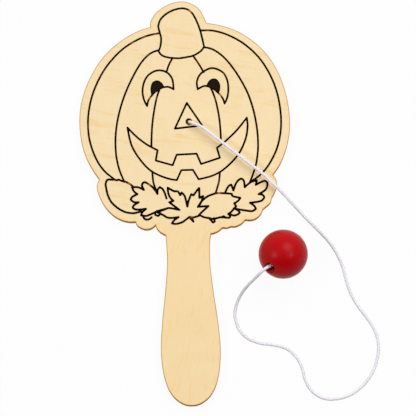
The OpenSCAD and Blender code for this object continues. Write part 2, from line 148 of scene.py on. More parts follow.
def gridFaces(rows, cols, aroundRows=False, flip=False):
    # Quads between neighbouring rows and columns; the columns always close round.
    r, c = np.meshgrid(np.arange(rows if aroundRows else rows - 1), np.arange(cols), indexing="ij")
    steps = ((0, 0), (1, 0), (1, 1), (0, 1))
    quads = np.stack([(r + j) % rows * cols + (c + i) % cols for i, j in steps], -1).reshape(-1, 4)
    uv = np.stack([np.stack([c + i, r + j], -1) for i, j in steps], 2).reshape(-1, 4, 2)
    return (quads[:, ::-1], uv[:, ::-1]) if flip else (quads, uv)


def setPointValue(mesh, name, amount):
    mesh.attributes.new(name, "FLOAT", "POINT").data.foreach_set("value", amount)


def gridMesh(name, grid, along, caps=False, aroundRows=False, flip=False):
    # One closed grid of points; UV is the turn round the piece and the length along it.
    rows, cols = grid.shape[:2]
    quads, uv = gridFaces(rows, cols, aroundRows, flip)
    faces, corner = quads.tolist(), uv.reshape(-1, 2)
    if caps:
        knots = np.arange(rows * cols).reshape(rows, cols)
        faces += [knots[0, ::-1].tolist(), knots[-1].tolist()]
        corner = np.vstack([corner, np.zeros((2 * cols, 2), int)])
    reach = np.append(along, 2 * along[-1] - along[-2])
    corner = np.stack([corner[:, 0] / cols, reach[corner[:, 1]]], 1)
    mesh = bpy.data.meshes.new(name)
    mesh.from_pydata((grid.reshape(-1, 3) * mm).tolist(), [], faces)
    mesh.uv_layers.new(name="lay").data.foreach_set("uv", corner.ravel())
    return mesh


def addObject(name, mesh, materials, sharpAngle=None):
    mesh.validate()
    piece = addThing(name, mesh)
    for material in materials:
        mesh.materials.append(material)
    mesh.shade_smooth()
    if sharpAngle:
        mesh.set_sharp_from_angle(angle=math.radians(sharpAngle))
    return piece


def tone(red, green, blue):
    # A colour written as the screen's 0 to 255 values.
    c = np.array([red, green, blue]) / 255
    c = np.where(c <= 0.04045, c / 12.92, ((c + 0.055) / 1.055) ** 2.4)
    return (float(c[0]), float(c[1]), float(c[2]), 1.0)


def newNode(tree, kind, **settings):
    node = tree.nodes.new("ShaderNode" + kind)
    for key, value in settings.items():
        setattr(node, key, value)
    return node


def fillInputs(node, inputs):
    for key, value in inputs.items():
        if isinstance(value, bpy.types.NodeSocket):
            node.id_data.links.new(value, node.inputs[key])
        else:
            node.inputs[key].default_value = value
    return node


def put(kind, inputs, **settings):
    # A new node in the tree of the sockets that feed it.
    tree = next(value.id_data for value in inputs.values() if isinstance(value, bpy.types.NodeSocket))
    return fillInputs(newNode(tree, kind, **settings), inputs)


def calc(operation, a, b=0.0, clamp=False):
    return put("Math", {0: a, 1: b}, operation=operation, use_clamp=clamp).outputs[0]


def times(a, b):
    return calc("MULTIPLY", a, b)


def plus(a, b, clamp=False):
    return calc("ADD", a, b, clamp)


def mixColour(factor, a, b, blend="MIX"):
    return put("Mix", {0: factor, 6: a, 7: b}, data_type="RGBA", blend_type=blend).outputs[2]


def ramp(factor, stops):
    node = put("ValToRGB", {0: factor})
    elements = node.color_ramp.elements
    while len(elements) < len(stops):
        elements.new(0.5)
    for element, (place, colour) in zip(elements, stops):
        element.position = place
        element.color = colour
    return node.outputs[0]


def spread(value, low, high, toLow=0.0, toHigh=1.0):
    return put("MapRange", {0: value, 1: low, 2: high, 3: toLow, 4: toHigh},
               interpolation_type="SMOOTHSTEP").outputs[0]


def newGroup(name, inputs, outputs):
    group = bpy.data.node_groups.new(name, "ShaderNodeTree")
    for label, kind, value in inputs:
        socket = group.interface.new_socket(name=label, in_out="INPUT", socket_type="NodeSocket" + kind)
        if kind == "Float":
            socket.default_value = value
    for label in outputs:
        kind = "Color" if label == "Color" else "Float"
        group.interface.new_socket(name=label, in_out="OUTPUT", socket_type="NodeSocket" + kind)
    return group, group.nodes.new("NodeGroupInput"), group.nodes.new("NodeGroupOutput")


def useGroup(group, inputs):
    return put("Group", inputs, node_tree=group).outputs


def newMaterial(name):
    material = bpy.data.materials.new(name)
    material.use_nodes = True
    tree = material.node_tree
    return material, tree, tree.nodes["Principled BSDF"]


def bumped(strength, distance, height):
    return put("Bump", {"Strength": strength, "Distance": distance, "Height": height}).outputs[0]


def objectPlace(tree):
    return newNode(tree, "TexCoord").outputs["Object"]


def layPlace(tree):
    return newNode(tree, "UVMap", uv_map="lay").outputs[0]


def pointValue(tree, name):
    return newNode(tree, "Attribute", attribute_name=name).outputs["Fac"]


def noiseAt(vector, stretch, detail=2.0, rough=0.5, shift=(0, 0, 0)):
    # Waves to a metre along each of the three lines of the vector.
    place = put("Mapping", {0: vector, 1: shift, 3: stretch}, vector_type="POINT")
    return put("TexNoise", {"Vector": place.outputs[0], "Scale": 1.0, "Detail": detail, "Roughness": rough},
               noise_dimensions="3D").outputs[0]


grainNoise = {  # waves to a metre across, along and through the board; detail, roughness, shift
    "cloud": ((70, 34, 60), 3, 0.6), "thin": ((1100, 130, 300), 3, 0.65),
    "fibre": ((5200, 230, 2500), 2, 0.6), "short": ((900, 95, 300), 2, 0.55, (3.1, 0, 7.3)),
    "dash": ((3100, 420, 3000), 1, 0.4, (3.1, 0, 7.3)), "wave": ((42, 430, 90), 3, 0.55, (1.7, 2.3, 0)),
}
charTones = [  # from a golden fringe through brown and black to grey ash
    (0.12, tone(234, 192, 120)), (0.28, tone(210, 152, 70)), (0.42, tone(160, 100, 36)),
    (0.56, tone(82, 51, 24)), (0.7, tone(34, 19, 8)), (0.85, tone(14, 7, 2)), (1.0, tone(34, 27, 19))]


def makeGrainGroup(noises):
    # Pale veneer along y: soft clouds, fine fibres, short streaks, pores and wavy cross lines.
    group, inside, outside = newGroup(
        "veneerGrain", [("Vector", "Vector", None), ("Wander", "Float", 0.006)],
        ["Band", "Fibre", "Streak", "Pore", "Ripple", "Height"])
    vector, wander = inside.outputs[0], inside.outputs[1]
    drift = times(calc("SUBTRACT", noiseAt(vector, (38, 38, 38)), 0.5), wander)
    aside = put("CombineXYZ", {0: drift, 1: drift}).outputs[0]
    moved = put("VectorMath", {0: vector, 1: aside}, operation="ADD").outputs[0]
    cloud, thin, fibre, short, dash, wave = (noiseAt(moved, *look) for look in noises.values())
    pore = spread(dash, 0.72, 0.8)
    shown = spread(noiseAt(vector, (90, 120, 60), 2, 0.5, (5.2, 0.4, 0)), 0.34, 0.62, 0.25, 1.0)
    rough = plus(times(fibre, 0.7), times(thin, 0.3))
    fillInputs(outside, {
        "Band": plus(times(cloud, 0.5), times(thin, 0.5)), "Fibre": fibre, "Pore": pore,
        "Streak": times(spread(short, 0.5, 0.68), shown),
        "Ripple": times(spread(wave, 0.52, 0.68), shown),
        "Height": calc("SUBTRACT", rough, pore)})
    return group


def makeCharGroup(stops):
    # What a laser leaves: nothing at 0, black at 0.85 and ash at 1, with a blotchy edge.
    group, inside, outside = newGroup(
        "laserChar", [("Burn", "Float", 0.0), ("Wood", "Color", None), ("Vector", "Vector", None)],
        ["Color", "Dark", "Height"])
    burn, wood, vector = (inside.outputs[i] for i in range(3))
    blotch = noiseAt(vector, (900, 900, 900), 2, 0.6)
    wobble = times(calc("SUBTRACT", blotch, 0.5), 0.16)
    level = plus(burn, times(spread(burn, 0.02, 0.3), wobble), clamp=True)
    out = mixColour(spread(level, 0.01, 0.16), wood, ramp(level, stops))
    ash = noiseAt(vector, (4000, 4000, 4000), 2, 0.7)
    fillInputs(outside, {"Color": out, "Dark": level, "Height": ash})
    return group


grainGroup = makeGrainGroup(grainNoise)
charGroup = makeCharGroup(charTones)

woodLook = {
    "pale": tone(254, 230, 186), "plain": tone(253, 228, 181), "warm": tone(252, 225, 174),
    "streakColour": tone(248, 212, 148), "poreColour": tone(222, 180, 118), "handleTint": tone(255, 251, 243),
    "headFoot": (0.046, 0.066),      # where the handle's look gives way to the head's, in metres
    "streaks": (0.42, 0.12), "ripples": (0.1, 0.62),   # shown on the handle and on the head
    "pores": 0.3, "roughness": 0.62, "slant": 0.2,
}


def makeVeneerMaterial(name, look, turn=0.0, shift=(0, 0, 0), sheen=0.3):
    material, tree, shader = newMaterial(name)
    objectAt = objectPlace(tree)
    laid = put("Mapping", {0: objectAt, 1: shift, 2: (0, 0, look["slant"] + turn)}).outputs[0]
    grain = useGroup(grainGroup, {"Vector": laid})
    head = spread(put("SeparateXYZ", {0: objectAt}).outputs[1], *look["headFoot"])
    base = ramp(grain["Band"], [(0.34, look["warm"]), (0.5, look["plain"]), (0.66, look["pale"])])
    base = mixColour(spread(grain["Fibre"], 0.5, 0.75, 0.0, 0.14), base, look["warm"])
    for mark, shares in (("Streak", look["streaks"]), ("Ripple", look["ripples"])):
        shown = times(grain[mark], spread(head, 0, 1, *shares))
        base = mixColour(shown, base, look["streakColour"])
    base = mixColour(times(grain["Pore"], look["pores"]), base, look["poreColour"])
    tinted = mixColour(1.0, base, look["handleTint"], "MULTIPLY")
    base = mixColour(spread(head, 0, 1, 1.0, 0.0), base, tinted)
    # The burn value also carries painted shade near edges that face the foot.
    charred = useGroup(charGroup, {"Burn": pointValue(tree, "burn"), "Wood": base, "Vector": objectAt})
    rough = spread(charred["Dark"], 0.1, 0.8, look["roughness"], 0.9)
    ash = times(times(charred["Height"], charred["Dark"]), 1.2)
    height = plus(times(grain["Height"], 0.35), ash)
    fillInputs(shader, {"Base Color": charred["Color"], "Roughness": rough, "Specular IOR Level": sheen,
                        "Normal": bumped(0.25, 0.0001, height)})
    return material


cutLook = {
    "strokes": (1700, 160, 1), "patches": (60, 60, 160),
    "golden": tone(232, 176, 98), "black": tone(22, 12, 5), "roughness": 0.8, "sheen": 0.2,
}


def makeCutEdgeMaterial(name, light, dark, look=cutLook):
    # Laser-cut wall: brown scorch in fine upright strokes, golden by the face and black where burnt.
    material, tree, shader = newMaterial(name)
    patch = noiseAt(objectPlace(tree), look["patches"], 3, 0.6)
    stroke = noiseAt(layPlace(tree), look["strokes"], 2, 0.6)
    shade = plus(times(stroke, 0.4), times(patch, 0.6))
    colour = ramp(shade, [(0.36, dark), (0.62, light)])
    # Where walls face the foot, the burn value also holds painted shade.
    burn = pointValue(tree, "burn")
    colour = mixColour(spread(burn, 0.12, 0.42, 1.0, 0.0), colour, look["golden"])
    colour = mixColour(spread(burn, 0.55, 0.9, 0.0, 0.97), colour, look["black"])
    fillInputs(shader, {"Base Color": colour, "Normal": bumped(0.4, 0.0001, stroke),
                        "Roughness": look["roughness"], "Specular IOR Level": look["sheen"]})
    return material


frontWood = makeVeneerMaterial("frontVeneerWood", woodLook)
burntWood = makeVeneerMaterial("burntVeneerWood", woodLook, sheen=0.02)
coreWood = makeVeneerMaterial("coreVeneerWood", woodLook, turn=math.pi / 2, shift=(0.31, 0.2, 0))
backWood = makeVeneerMaterial("backVeneerWood", woodLook, shift=(0.7, 0.43, 0))
frontCut = makeCutEdgeMaterial("frontPlyCutEdge", tone(244, 164, 66), tone(214, 132, 46))
coreCut = makeCutEdgeMaterial("corePlyCutEdge", tone(202, 130, 56), tone(158, 96, 38))
backCut = makeCutEdgeMaterial("backPlyCutEdge", tone(214, 144, 66), tone(172, 110, 48))

braidLook = {
    # The near-black colour here is painted shade for the cord and knot down in the hole, with a little soot.
    "thread": tone(246, 242, 251), "deep": tone(226, 212, 223), "holeShadeAndSoot": tone(34, 25, 22),
    "gapShade": 0.22, "fuzz": 0.08, "roughness": 0.72, "sheen": 0.25,
}


def makeBraidGroup():
    # Two sets of threads wind opposite ways; the higher of the two shows on top.
    group, inside, outside = newGroup(
        "braidedCover", [("Vector", "Vector", None), ("Threads", "Float", 8.0), ("Pitch", "Float", 0.0042)],
        ["Height", "Gap", "Fuzz"])
    vector, threads, pitch = (inside.outputs[i] for i in range(3))
    split = put("SeparateXYZ", {0: vector}).outputs
    turns = calc("DIVIDE", split[1], pitch)

    def wound(sign):
        place = times(plus(split[0], times(turns, sign)), threads)
        wave = calc("SINE", times(place, 2 * math.pi))
        return plus(times(wave, 0.5), 0.5)

    height = calc("MAXIMUM", wound(1.0), wound(-1.0))
    fillInputs(outside, {"Height": height, "Gap": spread(height, 0.45, 0.8, 1.0, 0.0),
                         "Fuzz": noiseAt(vector, (60, 9000, 1), 2, 0.6)})
    return group


braidGroup = makeBraidGroup()


def makeBraidMaterial(name, look):
    material, tree, shader = newMaterial(name)
    braid = useGroup(braidGroup, {"Vector": layPlace(tree)})
    # Painted shade: the low places between the threads are mixed towards the deeper colour.
    colour = mixColour(times(braid["Gap"], look["gapShade"]), look["thread"], look["deep"])
    colour = mixColour(spread(braid["Fuzz"], 0.5, 0.8, 0.0, look["fuzz"]), colour, look["deep"])
    # Painted shade, with a little soot, darkens the braid down in the hole.
    colour = mixColour(pointValue(tree, "holeShadeAndSoot"), colour, look["holeShadeAndSoot"])
    height = plus(braid["Height"], times(braid["Fuzz"], 0.3))
    fillInputs(shader, {"Base Color": colour, "Normal": bumped(0.12, 0.00002, height),
                        "Roughness": look["roughness"],
                        "Sheen Weight": look["sheen"], "Sheen Roughness": 0.5})
    return material


cordBraid = makeBraidMaterial("lavenderBraid", braidLook)

# The cord is made before every other piece, so the board's and the ball's sizes stand here.
boardSize = {  # mm
    "unit": 59.2, "headMiddle": 114.004, "grip": 47.7, "halfHandle": 16.6, "handleShift": -0.35,
    "ply": 1.6, "hole": (0.03, -0.03), "holeSides": 64, "lineDepth": 0.3,
}
unit, headY, ply = boardSize["unit"], boardSize["headMiddle"], boardSize["ply"]
boardTop = 3 * ply
lineDepth = boardSize["lineDepth"]
holeAt = np.array([boardSize["hole"][0] * unit, headY + boardSize["hole"][1] * unit])


def onHead(shares):
    # Shares of the unit from the head's middle, as mm.
    return np.asarray(shares, float) * unit + (0, headY)


ballSetup = {
    "middle": (52.3, 34.9, 13.7), "radius": 13.7, "bore": 1.6, "sink": 3.8, "ease": 0.2,
    "boreTilt": 30.0, "boreTurn": 226.0, "knotSeat": 11.762,
    "boreRows": 10, "coneRows": 6, "lipRows": 5, "arcRows": 90, "around": 112,
}
ballMid = np.array(ballSetup["middle"])
boreLine = compass(ballSetup["boreTurn"], ballSetup["boreTilt"])

cordSetup = {
    "diameter": 1.7,
    "exit": (0.036, -0.0345),        # shares of the head, beside the hole's middle
    "arch": [(0.039, -0.0365, 0.3), (0.061, -0.05, 0.62), (0.1, -0.07, 0.87), (0.16, -0.103, 0.97),
             (0.258, -0.182, 1.02), (0.333, -0.245, 1.03), (0.507, -0.387, 1.01), (0.693, -0.54, 0.98),
             (0.77, -0.611, 0.96), (0.85, -0.695, 0.93)],
    "archLift": 4.8,
    "table": [(53.5, 69.5, 7.8), (57.3, 65.3, 6.4), (62.1, 60.1, 4.2), (65, 57, 2.9), (68.5, 53.5, 1.7),
              (71.8, 50.2, 0.8), (74.9, 46.9, 0.2), (77.3, 44.3, 0), (79.3, 41.7, 0), (81.2, 38.7, 0),
              (83.2, 35.1, 0), (85.8, 28.6, 0), (87.8, 20, 0), (90.2, 12.6, 0), (94, 5.5, 0),
              (98.6, -0.9, 0), (102.4, -7.5, 0), (104.3, -14.5, 0), (104, -21.4, 0), (101.7, -28.9, 0),
              (97.1, -36.2, 0), (90.8, -41.7, 0), (84.4, -44.6, 0), (77.5, -45.6, 0), (71.7, -44.5, 0),
              (66.4, -40.7, 0), (63.1, -35, 0), (61.6, -28.5, 0), (59.5, -23.5, 0), (55.7, -18.7, 0),
              (50.7, -15.8, 0), (44.1, -14.3, 0), (37.6, -13.2, 0), (31.2, -10.2, 0), (26.9, -5.5, 0),
              (24.8, 1.5, 0.2), (25.55, 7.6, 1.4), (28.2, 13.3, 4.7)],
    "rise": [(-0.92, -0.65, -0.67), (-0.67, -0.435, -0.345), (-0.45, -0.245, -0.06), (-0.33, -0.14, 0.05),
             (-0.19, -0.025, 0.065), (-0.055, 0.058, 0), (0.078, 0.118, -0.08), (0.215, 0.22, -0.18)],
    "holeShadeLength": 8, "fineStep": 0.8, "ringStep": 0.15, "sides": 24,
    "threads": 8, "pitch": 4.2, "relief": 0.005, "lean": (-0.5, 0.6, 0.62),
}


def cordRoute(setup):
    # Up out of the hole, over the face, round on the table, up to the ball's mouth and down its bore.
    thick = setup["diameter"] / 2
    ballR = ballSetup["radius"]
    mouth = ballMid + math.sqrt(ballR ** 2 - ballSetup["sink"] ** 2) * boreLine
    arch = np.array(setup["arch"])
    arch = np.column_stack([onHead(arch[:, :2]), boardTop + arch[:, 2] * setup["archLift"]])
    table = np.array(setup["table"]) + (0, 0, thick)
    rise = mouth + np.array(setup["rise"]) * ballR
    ends = [ballMid, ballMid - ballSetup["knotSeat"] * boreLine]
    out = onHead(setup["exit"])
    path = smoothPoints(np.vstack([[(*out, boardTop - ply), (*out, boardTop - lineDepth)],
                                   arch, table, rise, ends]), 6)
    path[:, 2] = np.maximum(path[:, 2], thick)
    return path


def makeCord(setup):
    # radius = d/2 less a shallow dip wherever both thread helices are low; the sides stand square to the
    # route and to one fixed leaning line.
    path = evenSteps(cordRoute(setup), setup["fineStep"])
    path = evenSteps(smoothPoints(path, 6), setup["ringStep"])
    along = lengthAlong(path)
    tangent = unitLong(np.gradient(path, axis=0))
    side = unitLong(np.cross(tangent, setup["lean"]))
    turn = np.arange(setup["sides"]) / setup["sides"]
    wind = along[:, None] / setup["pitch"]
    one, two = (0.5 + 0.5 * np.sin(2 * math.pi * setup["threads"] * (turn + way * wind)) for way in (1, -1))
    radius = setup["diameter"] / 2 - setup["relief"] * (1 - np.maximum(one, two))
    grid = tubeGrid(path, side, np.cross(tangent, side), radius, setup["sides"])
    mesh = gridMesh("elasticCord", grid, along * mm, caps=True)
    # Painted shade, with a little soot: the cord's first few mm darken where they lie below the face, in the
    # hole.
    holeShadeAndSoot = np.clip((boardTop - 0.1 - path[:, 2]) / 0.5, 0, 1) * (along < setup["holeShadeLength"])
    setPointValue(mesh, "holeShadeAndSoot", np.repeat(holeShadeAndSoot, setup["sides"]))
    piece = addObject("elasticCord", mesh, [cordBraid])
    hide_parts("elastic_cord")
    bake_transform(piece)
    print("elastic cord:", len(path), "rings,", round(float(along[-1]), 1), "mm")


makeCord(cordSetup)


def pairs(*values):
    # Points, written in thousandths.
    return np.reshape(values, (-1, 2)) / 1000


# The board's outline and its burnt lines, in shares of the unit from the head's middle.
outlineShares = {
    "stemTop": pairs(-317, 895, -317, 937, -292, 989, -253, 1039, -168, 1097, -73, 1132, 25, 1134, 118,
        1093, 167, 1042, 192, 996, 213, 948, 223, 922),
    "rightSide": pairs(223, 922, 346, 897, 465, 857, 579, 797, 714, 689, 824, 556, 905, 401, 958, 234, 987,
        62, 990, -114, 959, -288, 894, -450, 817, -564),
    "rightLobeA": pairs(817, -564, 844, -606, 851, -674, 825, -740, 801, -778),
    "rightLobeB": pairs(801, -778, 786, -828, 750, -862, 712, -890),
    "rightLobeC": pairs(712, -890, 691, -937, 648, -976, 595, -993, 543, -988),
    "rightLobeD": pairs(543, -988, 501, -1027, 445, -1050, 404, -1048),
    "rightLobeE": pairs(404, -1048, 368, -1061, 324, -1057),
    "rightLobeF": pairs(324, -1057, 286, -1087, 250, -1104, 213, -1113),
    "leftLobeA": pairs(-216, -1116, -264, -1088, -297, -1052, -310, -1018),
    "leftLobeB": pairs(-310, -1018, -346, -1045, -393, -1056, -439, -1046, -482, -1017, -500, -981),
    "leftLobeC": pairs(-500, -981, -564, -980, -644, -955, -721, -904, -788, -825, -836, -730, -859, -635,
        -835, -563),
    "leftSide": pairs(-835, -563, -887, -486, -947, -371, -990, -236, -1011, -60, -1002, 116, -959, 287,
        -887, 447, -793, 591, -673, 714, -534, 810, -422, 864, -317, 895),
}
handleShares = pairs(743, 940, 733, 880, 722, 755, 730, 630, 763, 503, 806, 356, 862, 200, 920, 42, 961,
    -105, 991, -230, 1000, -346, 988, -461, 958, -566, 904, -667, 826, -760, 730, -832, 584, -904, 372,
    -963, 170, -992, 0, -998)


def boardOutline(step=0.8):
    # Smooth runs between the sharp notches, turned anticlockwise.
    half = handleShares * (boardSize["halfHandle"], boardSize["grip"])
    aside = (boardSize["handleShift"], 0)
    runs = []
    for name, shares in outlineShares.items():
        runs.append(onHead(shares))
        if name == "rightLobeF":
            runs.append(np.vstack([runs[-1][-1:], half + aside, (half * (-1, 1))[-2::-1] + aside,
                                   onHead(outlineShares["leftLobeA"][:1])]))
    return np.vstack([evenSteps(smoothPoints(run, 12), step)[:-1] for run in runs])[::-1]


def mitres(ring, stretch=1.6):
    # Inward step at each point: along the middle of two sides' normals, longer at corners.
    before, after = unitLong(ring - np.roll(ring, 1, 0)), unitLong(np.roll(ring, -1, 0) - ring)
    one, two = (np.column_stack([-side[:, 1], side[:, 0]]) for side in (before, after))
    middle = unitLong(one + two)
    return middle * np.minimum(stretch, 1 / np.maximum((middle * two).sum(1), 0.1))[:, None]


smoothLines = {
    "stemOver": pairs(-240, 905, -217, 966, -160, 1020, -90, 1055, -10, 1070, 52, 1053, 96, 1008, 133, 930,
        163, 840, 186, 730, 194, 689),
    "stemFoot": pairs(194, 689, 158, 647, 90, 608, 20, 593, -60, 585, -150, 595, -212, 618, -242, 656),
    "stemLeft": pairs(-242, 656, -223, 710, -215, 780, -226, 835, -236, 875, -240, 905),
    "skinLeft": pairs(-225, 835, -350, 810, -480, 755, -608, 668, -735, 532, -827, 383, -893, 218, -927, 40,
        -927, -120, -902, -250, -851, -383, -781, -487, -690, -567),
    "skinRight": pairs(160, 850, 290, 843, 428, 797, 578, 707, 720, 565, 823, 387, 884, 198, 908, -10, 895,
        -180, 850, -335, 769, -478, 686, -566, 594, -628),
    "ribLeft": pairs(-237, 670, -322, 638, -409, 553, -495, 413, -576, 240, -637, 50, -669, -140, -670,
        -320, -643, -470, -596, -593),
    "ribRight": pairs(193, 686, 278, 661, 379, 584, 484, 447, 586, 258, 642, 88, 675, -100, 682, -280, 662,
        -438, 624, -556, 593, -630),
    "browLeft": pairs(-110, 590, -147, 523, -173, 450),
    "browRight": pairs(85, 607, 135, 530, 183, 444),
    "cheekLeft": pairs(-244, 281, -260, 240, -282, 162, -309, 20, -325, -120, -332, -265),
    "cheekRight": pairs(246, 290, 265, 246, 292, 160, 317, 20, 328, -110, 330, -235),
    "chinLeft": pairs(-329, -500, -320, -610, -283, -714),
    "chinRight": pairs(312, -528, 302, -608, 285, -668, 266, -723),
    "eyeLeftOver": pairs(-364, 130, -394, 198, -404, 280, -386, 365, -339, 434, -255, 472, -169, 451, -118,
        383, -108, 285),
    "eyeLeftUnder": pairs(-108, 285, -150, 308, -199, 308, -244, 290, -288, 261, -326, 220, -351, 182, -364,
        130),
    "eyeRightOver": pairs(122, 280, 117, 356, 158, 432, 260, 481, 361, 441, 406, 360, 414, 265, 400, 188,
        375, 135),
    "eyeRightUnder": pairs(375, 135, 361, 180, 327, 229, 279, 275, 228, 303, 178, 308, 122, 280),
    "mouthUpperLeft": pairs(-556, -73, -472, -162, -377, -239, -274, -299),
    "mouthUpperRight": pairs(290, -290, 370, -230, 479, -130, 583, -7),
    "mouthLowerRight": pairs(583, -7, 587, -100, 562, -220, 490, -360, 366, -485, 248, -553, 109, -587),
    "mouthLowerLeft": pairs(-98, -590, -197, -567, -331, -502, -430, -400, -518, -250, -556, -73),
}
straightLines = {
    "nose": pairs(15, 150, -105, -95, 155, -70, 15, 150),
    "teeth": pairs(-274, -299, -294, -396, -134, -446, -94, -346, 96, -341, 136, -441, 316, -386, 290, -290),
    "lowTooth": pairs(109, -587, 57, -495, -53, -495, -98, -590),
}
leafLines = {
    "roundLeaf": pairs(-510, -646, -540, -619, -582, -594, -615, -586, -651, -571, -668, -577, -690, -569,
        -718, -570, -746, -566, -765, -580, -774, -609, -770, -650, -757, -710, -735, -765, -700, -810,
        -647, -854, -590, -883, -529, -895, -485, -890, -445, -879),
    "oakTop": pairs(-525, -647, -475, -647, -445, -657, -413, -675, -430, -632, -420, -607, -395, -604,
        -340, -642, -305, -682, -285, -717, -282, -677, -262, -652, -235, -672, -215, -712, -200, -762),
    "oakLow": pairs(-200, -859, -280, -879, -340, -904, -395, -924, -445, -917, -435, -891, -397, -856,
        -460, -862, -500, -858, -522, -842, -510, -819, -465, -792, -510, -789, -540, -764, -525, -739,
        -475, -714, -505, -689, -525, -647),
    "maple": pairs(105, -935, 50, -950, 15, -945, -20, -968, -55, -992, -115, -1008, -155, -1000, -130,
        -970, -90, -943, -150, -950, -200, -943, -235, -920, -290, -893, -215, -865, -175, -855, -80, -875,
        -130, -835, -175, -800, -135, -787, -165, -755, -182, -710, -187, -660, -130, -693, -90, -700, -70,
        -735, -55, -710, -25, -750, -5, -845, 10, -785, 35, -727, 55, -740, 85, -700, 112, -670, 112, -765,
        148, -748, 125, -810, 95, -850, 195, -845),
    "oval": pairs(95, -850, 135, -795, 185, -755, 235, -735, 280, -725, 365, -728, 420, -735, 430, -757,
        500, -775, 475, -805, 440, -825, 458, -853, 410, -905, 380, -925, 400, -945, 385, -962, 315, -955,
        275, -962, 235, -970, 200, -960, 150, -950, 105, -925, 155, -880, 195, -845),
    "oakRight": pairs(360, -714, 375, -684, 395, -656, 418, -646, 436, -702, 455, -649, 477, -614, 504,
        -594, 524, -596, 539, -619, 544, -674, 579, -644, 609, -624, 661, -611, 649, -654, 699, -629, 739,
        -616, 761, -634, 756, -674, 734, -709, 674, -744, 711, -751, 727, -774, 704, -804, 659, -817, 589,
        -824, 629, -854, 644, -884, 609, -904, 559, -899, 504, -889, 434, -874),
    "bud": pairs(436, -875, 473, -893, 491, -915, 471, -932, 436, -942, 401, -930),
    "curl": pairs(-430, -918, -410, -953, -375, -958, -345, -938),
    "stalk": pairs(200, -962, 234, -1004, 251, -994, 245, -962),
    "tip": pairs(12, -948, 50, -990, 34, -950),
    "seed": pairs(-267, -891, -291, -880, -313, -894, -308, -919, -283, -927, -263, -911, -267, -891),
    "nick": pairs(316, -957, 333, -946, 350, -954),
}
pupilShapes = [
    pairs(-199, 319, -215, 347, -246, 371, -277, 373, -305, 358, -321, 326, -327, 281, -317, 231, -281, 267,
        -235, 292),
    pairs(204, 314, 227, 354, 259, 378, 296, 377, 322, 351, 336, 311, 333, 269, 321, 240, 289, 268, 248, 288)]
engraving = {
    "fades": np.reshape([  # where the laser passed lightly: place, reach and how much paler
        73, 1045, 25, 600, -335, 208, 20, 550, 335, 218, 22, 550, -550, -612, 30, 500,
        -362, -630, 25, 500, 300, -726, 30, 500, 33, -945, 20, 550, -272, 827, 30, 400,
        -377, 800, 30, 400, -490, 749, 30, 400, -785, 487, 40, 300, -933, -48, 50, 300,
        232, 852, 40, 350, -343, 617, 30, 350, -130, 546, 30, 300, 130, 535, 50, 300,
        375, 422, 30, 350, 285, 180, 50, 300, -273, 200, 30, 350, 295, -620, 60, 300], (-1, 4)) / 1000,
    "mouthWidth": 0.59, "floorWidth": 0.49, "cell": 0.24, "dot": 0.12,   # mm
    "bolder": [(-0.05, -0.03), (0.05, -0.03), (0, 0.06)],   # the garland is burnt three times, a little apart
}


def engravedDots(cut):
    # Closely spaced points along every line and all over both pupils.
    dots = [evenSteps(smoothPoints(onHead(p), 10), cut["dot"]) for p in smoothLines.values()]
    leaves = [evenSteps(smoothPoints(onHead(p), 8, 55), cut["dot"]) for p in leafLines.values()]
    dots += [dot + step for dot in leaves for step in cut["bolder"]]
    dots += [evenSteps(onHead(p), cut["dot"]) for p in straightLines.values()]
    return np.vstack(dots + [pupilDots(p, cut["dot"], 0.86, 24) for p in pupilShapes])


def pupilDots(shares, step, reach, rows):
    # Rings of the outline drawn in to its middle, out to a share of it.
    rim = onHead(np.vstack([shares, shares[:1]]))
    middle = rim[:-1].mean(0)
    rim = evenSteps(smoothPoints(rim, 6), step)
    return (middle + (rim - middle) * np.linspace(0, reach, rows)[:, None, None]).reshape(-1, 2)


def distanceField(dots, cut):
    # On a fine square grid, how far each knot is from the nearest dot, up to four cells.
    cell, reach = cut["cell"], 4
    low = dots.min(0) - 2 * reach * cell
    shape = np.ceil((dots.max(0) + 2 * reach * cell - low) / cell).astype(int) + 1
    field = np.full(shape, reach * cell)
    near = np.round((dots - low) / cell).astype(int)
    for step in np.ndindex(2 * reach + 1, 2 * reach + 1):
        knot = near + step - reach
        away = np.linalg.norm(low + knot * cell - dots, axis=1)
        np.minimum.at(field, (knot[:, 0], knot[:, 1]), away)
    return low, field


def contour(low, field, cell, level):
    # Where the field passes the level between two knots, and the short edges that join those places.
    inside = field < level
    points, ids = [], []
    count = 0
    for axis, near, far in ((0, np.s_[:-1], np.s_[1:]), (1, np.s_[:, :-1], np.s_[:, 1:])):
        crossed = inside[near] != inside[far]
        where = np.argwhere(crossed)
        a, b = field[near][crossed], field[far][crossed]
        place = where.astype(float)
        place[:, axis] += np.clip((level - a) / (b - a), 0.08, 0.92)
        points.append(low + place * cell)
        number = np.full(crossed.shape, -1)
        number[crossed] = count + np.arange(len(where))
        count += len(where)
        ids.append(number)
    flat, upright = ids
    sides = np.stack([flat[:, :-1], flat[:, 1:], upright[:-1], upright[1:]], -1).reshape(-1, 4)
    crossings = (sides >= 0).sum(1)
    plain = np.sort(sides[crossings == 2], 1)[:, 2:]
    saddle = sides[crossings == 4]
    return np.vstack(points), np.vstack([plain, saddle[:, [0, 2]], saddle[:, [1, 3]]])


def ringEdges(start, count):
    i = np.arange(count)
    return np.column_stack([start + i, start + (i + 1) % count])


def filledBetween(points, edges, hole, share=1.0):
    # Triangles inside the outer edges, without those that would close the hole.
    points, _, faces, origin, _, _ = delaunay_2d_cdt(points.tolist(), edges.tolist(), [], 1, 1e-5)
    points, faces = np.array([tuple(p) for p in points]), np.array(faces)
    middle = hole.mean(0)
    away = np.linalg.norm(points[faces].mean(1) - middle, axis=1)
    return points, faces[away > np.linalg.norm(hole[0] - middle) * share], origin


def plainFace(ring, hole):
    edges = np.vstack([ringEdges(0, len(ring)), ringEdges(len(ring), len(hole))])
    points, faces, _ = filledBetween(np.vstack([ring, hole]), edges, hole, 0.98)
    return points, faces, np.zeros(len(points)), np.zeros(len(points))


